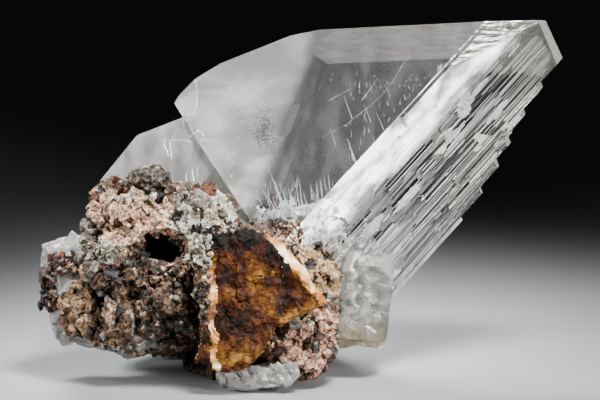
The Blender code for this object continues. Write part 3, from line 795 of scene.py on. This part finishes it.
def makeCloudsAndReflections(finish):
    # flat feathery white sheets just under the striated side: painted reflections of light from inner cleavage; then
    # the cloudy foot of the needle tuft
    outward, across, edge = striatedAxes()
    shape = bmesh.new()
    for x, y, wide, long in needles["patches"]:
        reach, along = onStriatedSide(x, y)
        middle = edge + across * reach - outward * 0.6
        middle.z = along
        axes = Matrix((across, Vector((0, 0, 1)), outward)).transposed().to_4x4()
        place = Matrix.Translation(middle) @ axes @ Matrix.Diagonal((wide, long, 0.45, 1.0))
        addCloud(shape, place, middle, 0.75, ((0.45, 0.9), (0.25, 2.7)))
    for x, y, wide, tall in needles["foot"]:
        middle = insideAt(x, y, 1.4)
        up = insideAt(x, y - 10, 1.4) - middle
        axes = Matrix.Rotation(math.atan2(up.x, up.z), 4, "Y")
        place = Matrix.Translation(middle) @ axes @ Matrix.Diagonal((wide, 0.8, tall, 1.0))
        for vert in addCloud(shape, place, middle, 0.8, ((0.4, 0.8), (0.3, 2.1))):
            vert.co.y = max(vert.co.y, 0.35 - stand["halfThick"])
    bmesh.ops.recalc_face_normals(shape, faces=shape.faces[:])
    bmesh.ops.transform(shape, matrix=crystalMatrix, verts=shape.verts[:])
    return meshPiece("sideReflectionsAndClouds", shape, [finish])


# Stones of the matrix, each a broken grain surface: colours from dark to light and how shiny it is.
stones = {
    "creamSpar": (("#3A2B1F", "#7C6550", "#BFA88F"), 0.62),
    "pinkSpar": (("#3A231A", "#775544", "#B19380"), 0.64),
    "brownOchre": (("#100B07", "#322317", "#664F3D"), 0.8),
    "rustOchre": (("#140804", "#381B0F", "#62351F"), 0.8),
    "greyClay": (("#1A1815", "#4A4640", "#817B6C"), 0.75),
    # dark iron stone; one mixture also uses it as painted shade beside the hollow
    "darkIronAndShade": (("#050302", "#0E0A08", "#241B16"), 0.55),
    "paleGypsum": (("#45423A", "#787469", "#B2AEA3"), 0.4),
    "tanMarl": (("#3A2B1D", "#6B533C", "#9C866B"), 0.85),
    "maroonIron": (("#0E0606", "#271714", "#523934"), 0.7),
}
stoneNames = list(stones)

# Where each mixture shows, as middle and half size in pixels of the picture, with the shares of its stones.
mixtures = (
    # painted shade: dark stones left of and below the hollow stand in for the dark of the hollow there
    ((146, 262), (11, 14), {"darkIronAndShade": 7, "brownOchre": 3}),
    ((165, 246), (24, 17), {"brownOchre": 8, "rustOchre": 5, "maroonIron": 3, "paleGypsum": 1}),
    ((212, 188), (20, 8), {"rustOchre": 9, "brownOchre": 2, "creamSpar": 1}),
    ((204, 226), (30, 34), {"paleGypsum": 7, "greyClay": 5, "creamSpar": 3, "darkIronAndShade": 2}),
    ((118, 178), (16, 14), {"brownOchre": 5, "rustOchre": 4, "creamSpar": 2, "paleGypsum": 1}),
    ((130, 215), (45, 26),
     {"creamSpar": 7, "pinkSpar": 5, "brownOchre": 4, "rustOchre": 2, "paleGypsum": 2, "darkIronAndShade": 2}),
    ((103, 240), (22, 24), {"greyClay": 6, "paleGypsum": 3, "creamSpar": 2, "brownOchre": 4, "darkIronAndShade": 2}),
    ((72, 305), (19, 38), {"tanMarl": 10, "creamSpar": 1, "brownOchre": 2}),
    ((44, 292), (11, 20), {"maroonIron": 4, "darkIronAndShade": 8}),
    ((64, 264), (20, 14), {"pinkSpar": 3, "maroonIron": 6, "paleGypsum": 2, "rustOchre": 1}),
    ((240, 227), (44, 6), {"darkIronAndShade": 6, "brownOchre": 5, "rustOchre": 3}),
    ((140, 300), (58, 46), {"brownOchre": 9, "darkIronAndShade": 8, "greyClay": 4, "creamSpar": 3, "pinkSpar": 1}),
    ((325, 268), (26, 28), {"tanMarl": 5, "creamSpar": 4, "greyClay": 4, "darkIronAndShade": 3, "brownOchre": 3}),
    ((285, 232), (24, 9), {"pinkSpar": 5, "creamSpar": 4, "brownOchre": 4, "darkIronAndShade": 1}),
    ((300, 350), (58, 42), {"pinkSpar": 5, "maroonIron": 7, "creamSpar": 2, "darkIronAndShade": 3, "greyClay": 3}),
    ((200, 335), (40, 40), {"brownOchre": 7, "creamSpar": 2, "darkIronAndShade": 6, "greyClay": 2}),
)
commonMix = {
    "brownOchre": 7, "creamSpar": 3, "pinkSpar": 2, "greyClay": 4, "darkIronAndShade": 4, "tanMarl": 2, "rustOchre": 1,
}


def grainStone(name):
    # crumbly mineral grain: matt, blotched on a 1 to 3 mm scale with darker specks in its pits
    (dark, middle, light), roughness = stones[name]
    made, add, surface = newMaterial(name + "Grain", Roughness=roughness)
    place = add("TexCoord").outputs["Object"]
    blotch = add("TexNoise", {"Vector": place, "Scale": 380.0, "Detail": 8.0, "Roughness": 0.68})
    speck = add("TexVoronoi", {"Vector": place, "Scale": 900.0})
    tone = add("Mix", {0: 0.3, 2: blotch, 3: speck}, data_type="FLOAT")
    patterned(add, surface, tone, ((0.3, dark), (0.46, middle), (0.6, light)), (0.8, 0.0007))
    return made


stoneFinishes = []


def pickStone(spot, chance):
    # which stone lies at a place of the model, for a chance between 0 and 1
    shake = noise.noise_vector(spot / mm / 9.0) * 5.0
    x, y = (pixel + move for pixel, move in zip(pixelAt(spot), shake))
    mix = commonMix
    for (midX, midY), (halfX, halfY), shares in mixtures:
        if ((x - midX) / halfX) ** 2 + ((y - midY) / halfY) ** 2 < 1.15:
            mix = shares
            break
    mark = chance * sum(mix.values())
    for name, share in mix.items():
        mark -= share
        if mark <= 0:
            return stoneNames.index(name)
    return stoneNames.index("brownOchre")


rock = {
    "voxel": 0.75,
    # size of the broken blocks and how far they stand out or back, mm
    "layers": ((8.0, 1.5), (4.2, 1.1), (2.2, 0.6)),
    "grain": 3.4,
    "seed": 12,
    "crumbs": 3600,
    "crumbSize": (0.7, 3.4),
    "blocks": 260,
    "blockSize": (3.4, 8.0),
    "crumbShapes": 24,
    "hollow": ((165, 246), (26, 20)),
    # crumbs scattered where the picture shows crusts: pixel box, how many, smallest and largest mm
    "crusts": (
        ((48, 253, 84, 276), 110, 0.7, 2.4), ((200, 223, 284, 233), 90, 0.6, 1.8),
        ((278, 222, 303, 242), 50, 0.7, 2.0), ((140, 262, 190, 282), 40, 0.8, 2.4),
        ((36, 278, 56, 306), 60, 0.8, 2.6), ((160, 256, 170, 266), 8, 1.4, 2.4),
        ((192, 236, 211, 268), 150, 0.8, 2.6), ((192, 266, 208, 320), 170, 0.8, 2.6),
    ),
}


def grainChance(spot):
    # one number between 0 and 1 for all that lies in the same grain of rock
    return noise.cell(noise.voronoi(spot / mm / rock["grain"])[1][0] * 5.7)


def blockHeight(point, scale, height):
    # each cell of broken rock is a small flat block with its own height and tilt
    distances, centres = noise.voronoi(point / scale)
    own = noise.cell(centres[0] * 7.3)
    tilt = noise.cell_vector(centres[0] * 3.1) - Vector((0.5, 0.5, 0.5))
    across = point / scale - centres[0]
    return height * (0.55 * own + 1.5 * tilt.dot(across))


def roughen(shape, layers):
    shape.normal_update()
    moves = [
        vert.normal * sum(blockHeight(vert.co / mm, scale, height) for scale, height in layers) * mm
        for vert in shape.verts
    ]
    for vert, move in zip(shape.verts, moves):
        vert.co += move
        vert.co.z = max(vert.co.z, 0.0)


def remeshed(piece, voxel):
    skin = piece.modifiers.new("skin", "REMESH")
    skin.mode = "VOXEL"
    skin.voxel_size = voxel * mm
    return settled(piece)


def makeRock():
    piece = meshPiece("matrixRock", copyOfNode("matrix_rock"), stoneFinishes)
    remeshed(piece, rock["voxel"])
    shape = opened(piece)
    roughen(shape, rock["layers"])
    for face in shape.faces:
        middle = face.calc_center_median()
        face.material_index = pickStone(middle, grainChance(middle))
        face.smooth = False
    closed(piece, shape)
    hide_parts("matrix_rock")


def randomTurn(draw, low, high):
    return Euler([draw.uniform(low, high) for _ in range(3)]).to_matrix().to_4x4()


def addCrumb(shape, source, place, stone=0):
    copy = source.copy()
    copy.transform(place)
    for one in copy.polygons:
        one.material_index = stone
    addMesh(shape, copy)


def crumbShapes(draw):
    # a set of small broken blocks, each cut from a cube by a few planes, about 1 mm across
    made = []
    for _ in range(rock["crumbShapes"]):
        fresh = bmesh.new()
        bmesh.ops.create_cube(fresh, size=1.0)
        bmesh.ops.scale(fresh, vec=(1.0, draw.uniform(0.6, 1.0), draw.uniform(0.4, 0.9)), verts=fresh.verts[:])
        for _ in range(7):
            normal = Vector([draw.gauss(0, 1) for _ in range(3)]).normalized()
            cutAway(fresh, normal * draw.uniform(0.3, 0.45), normal)
        bmesh.ops.remove_doubles(fresh, verts=fresh.verts[:], dist=1e-3)
        bmesh.ops.recalc_face_normals(fresh, faces=fresh.faces[:])
        made.append(meshOf("crumbShape", fresh))
    return made


def nearHollow(spot):
    # no large block stands in or before the dark hollow
    x, y = pixelAt(spot)
    (midX, midY), (halfX, halfY) = rock["hollow"]
    return abs(x - midX) < halfX and abs(y - midY) < halfY


def makeCrumbs():
    # broken grains that crust the rock, bedded to about half their depth
    draw = random.Random(rock["seed"])
    shapes = crumbShapes(draw)
    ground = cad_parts["matrix_rock"].data
    areas = [face.area for face in ground.polygons]
    crystal = skinOf("selenite_crystal")
    shape = bmesh.new()
    placed = 0
    total = rock["crumbs"] + rock["blocks"]
    for number, face in enumerate(draw.choices(list(ground.polygons), weights=areas, k=total)):
        corners = [ground.vertices[i].co for i in face.vertices]
        mixA, mixB = sorted((draw.random(), draw.random()))
        spot = corners[0] * mixA + corners[1] * (mixB - mixA) + corners[2] * (1 - mixB)
        least, most = rock["blockSize"] if number < rock["blocks"] else rock["crumbSize"]
        size = least + (most - least) * draw.random() ** 2.2
        near = crystal.find_nearest(spot)
        clear = near[0] is None or (spot - near[0]).dot(near[1]) > size * 0.35 * mm
        if spot.z < 0.6 * size * mm or not clear:
            continue
        if number < rock["blocks"] and nearHollow(spot):
            continue
        lift = -0.25 if number < rock["blocks"] else draw.uniform(-0.15, 0.25)
        place = Matrix.Translation(spot + face.normal * lift * size * mm)
        place = place @ randomTurn(draw, 0, 6.3) @ Matrix.Scale(size * mm, 4)
        stone = pickStone(spot, grainChance(spot) if draw.random() < 0.55 else draw.random())
        addCrumb(shape, shapes[placed % len(shapes)], place, stone)
        placed += 1
    nodes = ("left_crystal", "matrix_rock", "honey_slab", "selenite_crystal")
    for spot, normal, size in scattered(draw, nodes, rock["crusts"]):
        place = Matrix.Translation(spot + normal * 0.1 * size * mm) @ randomTurn(draw, 0, 6.3)
        stone = pickStone(spot, draw.random())
        addCrumb(shape, shapes[placed % len(shapes)], place @ Matrix.Scale(size * mm, 4), stone)
        placed += 1
    for mesh in shapes:
        bpy.data.meshes.remove(mesh)
    print("crumbs", placed, "faces", len(shape.faces))
    return meshPiece("rockCrumbs", shape, stoneFinishes)


slab = {
    "voxel": 0.6, "layers": ((6.0, 0.7), (2.4, 0.35), (1.2, 0.12)),
    # soft patches: middle in the view's mm, half width and height in mm, how much paler (or darker) it is
    "spots": (
        ((-22.0, 20.5), (13.0, 6.0), -0.05), ((3.5, 21.0), (9.0, 4.5), 0.07),
        ((-15.0, 33.0), (10.0, 7.0), 0.04), ((-20.0, 8.0), (12.0, 6.0), 0.05),
        ((-3.0, 43.0), (9.0, 4.0), -0.05), ((-32.0, 14.0), (4.0, 7.0), -0.04),
        ((-3.5, 34.0), (9.0, 8.0), -0.05),
    ),
}


def honeyCalcite():
    # banded honey calcite: waxy, amber where thin, brown-black where iron has soaked in, and darker towards its top
    # from painted shade
    made, add, surface = newMaterial(
        "honeyCalcitePlate", Roughness=0.55, IOR=1.5, Specular_IOR_Level=0.2, Subsurface_Weight=0.1,
        Subsurface_Radius=(0.003, 0.0012, 0.0004),
    )
    view = placeIn(add, viewMatrix)
    # upright streaks 3 to 8 mm wide, iron that soaked in along two bands, and painted shade that darkens the plate
    # towards its top
    streaks = add("TexNoise", {
        "Vector": pulled(add, view, (0.2, 0.09, 0.1), (0, 0, 8)), "Scale": 1.0, "Detail": 5.0,
        "Roughness": 0.6, "Distortion": 0.5,
    })
    specks = add("TexNoise", {"Vector": view, "Scale": 0.7, "Detail": 8.0, "Roughness": 0.75})
    bands = add("TexNoise", {
        "Vector": pulled(add, view, (0.09, 0.1, 0.05)), "Scale": 1.0, "Detail": 4.0, "Distortion": 0.6,
    })
    sides = add("SeparateXYZ", {"Vector": view})
    # painted shade: from 40 to 51 mm up the plate turns darker towards its top
    height = add("MapRange", (sides.outputs["Y"], 40.0, 51.0, 0.0, 0.1))
    tone = add("Mix", {0: 0.45, 2: streaks, 3: specks}, data_type="FLOAT")
    tone = add("Mix", {0: 0.36, 2: tone, 3: bands}, data_type="FLOAT")
    shade = add("Math", (tone, height), operation="SUBTRACT")
    for (right, up), (wide, tall), change in slab["spots"]:
        away = add(
            "VectorMath", (pulled(add, view, (1 / wide, 1 / tall, 0)), (right / wide, up / tall, 0)),
            operation="DISTANCE",
        )
        spot = add("MapRange", (away, 0.2, 1.2, change, 0.0))
        shade = add("Math", (shade, spot))
    stops = (
        (0.38, "#080402"), (0.44, "#1F0E05"), (0.48, "#341807"), (0.52, "#4B290B"), (0.56, "#654419"),
        (0.64, "#8B6E3C"),
    )
    patterned(add, surface, shade, stops)
    patterned(add, surface, tone, relief=(0.5, 0.002))
    return made


def creamCalcite():
    # the plate's broken rim, where it is thin and lets light through: cream to peach
    made, add, surface = newMaterial(
        "creamCalciteRim", Roughness=0.4, IOR=1.55, Subsurface_Weight=0.3, Subsurface_Radius=(0.003, 0.0015, 0.0006)
    )
    place = add("TexCoord").outputs["Object"]
    grain = add("TexNoise", {"Vector": place, "Scale": 150.0, "Detail": 4.0})
    stops = ((0.36, "#6B3F18"), (0.46, "#A3713A"), (0.56, "#C6A274"), (0.68, "#D9C9AE"))
    patterned(add, surface, grain, stops, (0.5, 0.0008))
    return made


def makeSlab():
    honey, cream, crusted = range(3)
    finishes = [honeyCalcite(), creamCalcite(), stoneFinishes[stoneNames.index("brownOchre")]]
    piece = meshPiece("honeyPlate", copyOfNode("honey_slab"), finishes)
    remeshed(piece, slab["voxel"])
    shape = opened(piece)
    roughen(shape, slab["layers"])
    toView = viewMatrix.inverted().to_3x3()
    shape.normal_update()
    for face in shape.faces:
        facing = (toView @ face.normal).normalized()
        x, y = pixelAt(face.calc_center_median())
        wobble = 3.0 * noise.noise(face.calc_center_median() / mm / 3.0)
        # a cream crest runs down the left part; what lies left of it is crusted rock
        middle = 212.5 + (y - 285) * 0.06
        crest = abs(x + 1.3 * wobble - middle) < (5.5 if y < 303 else 3.3) and y > 264
        crust = x + 1.3 * wobble < middle - 3 and y < 322
        # the rim runs down to the right from (273, 236) to (332, 311)
        rim = (x - 273) * 0.79 - (y - 236) * 0.62 + wobble > -4.5 and y > 232
        edge = facing.z < 0.2 and y > 244
        face.material_index = crusted if crust else cream if (edge or crest or rim) else honey
        face.smooth = False
    closed(piece, shape)
    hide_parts("honey_slab")


def makeNodule():
    # botryoidal iron nodule: dark olive, covered in grains about 1 mm across
    piece = meshPiece("darkNodule", copyOfNode("dark_nodule"), [noduleFinish()])
    remeshed(piece, 0.35)
    shape = opened(piece)
    shape.normal_update()
    moves = []
    for vert in shape.verts:
        near = noise.voronoi(vert.co / mm / 1.25)[0][0]
        moves.append(vert.normal * (0.5 - 0.9 * near) * mm)
    for vert, move in zip(shape.verts, moves):
        vert.co += move
    for face in shape.faces:
        face.smooth = True
    closed(piece, shape)
    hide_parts("dark_nodule")


def noduleFinish():
    made, add, surface = newMaterial("oliveIronGrains", Roughness=0.5)
    place = add("TexCoord").outputs["Object"]
    grain = add("TexVoronoi", {"Vector": place, "Scale": 800.0})
    blotch = add("TexNoise", {"Vector": place, "Scale": 500.0, "Detail": 6.0})
    tone = add("Mix", {0: 0.5, 2: grain, 3: blotch}, data_type="FLOAT")
    patterned(add, surface, tone, ((0.3, "#080604"), (0.46, "#1D170F"), (0.6, "#3E3123"), (0.78, "#6E5B46")))
    return made


smallCrystals = {"voxel": 0.5, "layers": ((9.0, 1.3), (4.0, 0.5), (1.8, 0.15))}


def makeSmallCrystals(finish):
    # the three small crystals: broken and worn, so their faces are cut up into many small planes
    for node, name in (
        ("left_crystal", "leftCrystal"), ("underside_crystal", "ledgeCrystals"),
        ("front_foot_crystal", "footCrystal"),
    ):
        piece = meshPiece(name, copyOfNode(node), [finish])
        remeshed(piece, smallCrystals["voxel"])
        shape = opened(piece)
        roughen(shape, smallCrystals["layers"])
        bmesh.ops.smooth_vert(
            shape, verts=shape.verts[:], factor=0.5, use_axis_x=True, use_axis_y=True, use_axis_z=True
        )
        for face in shape.faces:
            face.smooth = False
        closed(piece, shape)
        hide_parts(node)


druse = {
    "seed": 44,
    # small frosted blocks: pixel box of the picture they are scattered in, how many, smallest and largest mm
    "contact": (
        ((248, 206, 296, 226), 46, 1.0, 2.8), ((290, 208, 338, 250), 60, 1.0, 3.2),
        ((318, 226, 352, 262), 40, 1.0, 3.0), ((198, 176, 232, 212), 30, 0.8, 2.2),
        ((345, 215, 375, 250), 16, 1.0, 3.0), ((184, 112, 210, 130), 16, 0.7, 1.8),
        ((200, 124, 240, 170), 26, 0.6, 1.5), ((236, 196, 262, 222), 20, 0.8, 2.0),
    ),
    "lumps": (
        ((346, 254, 372, 330), 30, 6.5, 10.0), ((344, 250, 384, 262), 14, 3.0, 5.0),
        ((366, 262, 382, 330), 20, 3.5, 6.0), ((342, 322, 374, 336), 10, 4.0, 7.0),
        ((338, 236, 360, 262), 12, 2.0, 5.0),
    ),
    "ledgeAndGlint": (
        ((50, 306, 60, 330), 12, 1.5, 3.5), ((58, 334, 104, 344), 30, 1.5, 3.0),
        ((100, 341, 132, 352), 26, 2.0, 3.5), ((134, 336, 158, 354), 26, 2.5, 4.5),
        # painted glint: pale frosted blocks at the hollow's lower lip stand in for a glint
        ((158, 262, 168, 268), 3, 2.0, 3.0),
    ),
    "small": (
        ((222, 362, 298, 384), 90, 1.0, 4.0), ((44, 236, 82, 262), 60, 1.2, 5.0),
        ((52, 318, 165, 356), 110, 1.2, 5.0),
    ),
}


def makeDruse(name, finish, patches, voxel, rounds, sink, nodes=("selenite_crystal",)):
    # small frosted selenite blocks where the big crystal meets the rock, fused and worn soft
    draw = random.Random(druse["seed"])
    shapes = crumbShapes(draw)
    shape = bmesh.new()
    for spot, normal, size in scattered(draw, nodes, patches):
        turn = crystalMatrix.to_quaternion().to_matrix().to_4x4() @ randomTurn(draw, -0.5, 0.5)
        source = draw.choice(shapes)
        grow = Matrix.Diagonal((0.8, 0.8, draw.uniform(0.9, 1.5), 1.0))
        place = Matrix.Translation(spot - normal * sink * size * mm) @ turn
        addCrumb(shape, source, place @ Matrix.Scale(size * mm, 4) @ grow)
    for mesh in shapes:
        bpy.data.meshes.remove(mesh)
    for vert in shape.verts:
        vert.co.z = max(vert.co.z, 0.1 * mm)
    piece = meshPiece(name, shape, [finish])
    remeshed(piece, voxel)
    soften = piece.modifiers.new("soften", "SMOOTH")
    soften.factor = 0.5
    soften.iterations = rounds
    settled(piece)


def makeStage():
    shape = bmesh.new()
    bmesh.ops.create_grid(shape, x_segments=1, y_segments=1, size=8.0)
    floor = linked("studioFloor", meshOf("studioFloor", shape))
    floor.data.materials.append(newMaterial("paleFloorBoard", Base_Color=linear("#8E9092"), Roughness=0.5)[0])


lamps = {
    # name: place in the view's right, up, near mm; size mm; power; spread degrees
    "overheadKey": ((110, 500, 250), (200, 200), 0.45, 34),
    "leftSide": ((-480, 170, 130), (160, 220), 0.24, 34),
    "topBack": ((-150, 470, -300), (320, 160), 0.36, 38),
    "rightRear": ((330, 110, -420), (240, 200), 0.08, 42),
    "rightStrip": ((400, 110, 380), (90, 200), 0.31, 36),
}


def makeLights():
    aim = viewMatrix @ Vector((0, 55, -5))
    for name, (place, size, power, spread) in lamps.items():
        data = bpy.data.lights.new(name, "AREA")
        data.shape = "RECTANGLE"
        data.size, data.size_y = size[0] * mm, size[1] * mm
        data.energy = power
        data.spread = math.radians(spread)
        lamp = linked(name, data)
        lamp.location = viewMatrix @ Vector(place)
        lamp.rotation_euler = (aim - lamp.location).to_track_quat("-Z", "Y").to_euler()
        lamp.visible_camera = False
    world = bpy.data.worlds.new("studioDark")
    bpy.context.scene.world = world
    world.use_nodes = True
    world.node_tree.nodes["Background"].inputs["Color"].default_value = (0.02, 0.02, 0.021, 1)


def makeCamera():
    data = bpy.data.cameras.new("photoCamera")
    data.lens = photo["lens"]
    data.clip_end = 50.0
    camera = linked("photoCamera", data)
    camera.location = viewMatrix @ Vector((0, photo["middleUp"], cameraDistance))
    camera.rotation_euler = (math.radians(90.0 - stand["lookDown"]), 0, 0)
    bpy.context.scene.camera = camera


started = time.time()
makeCamera()
makeStage()
makeLights()
print("stage ready")
makeClearCrystal()
print("crystal ready", round(time.time() - started, 1), "s")
makeInclusions()
frosted = bruisedAndGlintSelenite("frostedSelenite", "#D2D0CC", 0.75)
# painted reflections under the striated side and the cloudy needle foot, in chalk white gypsum
makeCloudsAndReflections(gypsumFibre("whiteGypsumCloudAndReflection"))
makeSmallCrystals(frosted)
makeDruse("contactDruse", frosted, druse["contact"], 0.35, 3, 0.15)
makeDruse("frostedLumps", frosted, druse["lumps"], 0.5, 8, 0.4)
makeDruse("ledgeDruseAndGlint", frosted, druse["ledgeAndGlint"], 0.45, 1, 0.1, ("matrix_rock",))
smallNodes = ("front_foot_crystal", "left_crystal", "underside_crystal")
makeDruse("smallDruse", frosted, druse["small"], 0.5, 1, 0.2, smallNodes)
stoneFinishes += [grainStone(name) for name in stones]
makeRock()
print("rock ready", round(time.time() - started, 1), "s")
makeCrumbs()
makeSlab()
makeNodule()
print("pieces ready", round(time.time() - started, 1), "s")

scene = bpy.context.scene
scene.view_settings.view_transform = "AgX"
scene.view_settings.look = "AgX - Medium High Contrast"
scene.cycles.max_bounces = 24
scene.cycles.transmission_bounces = 24
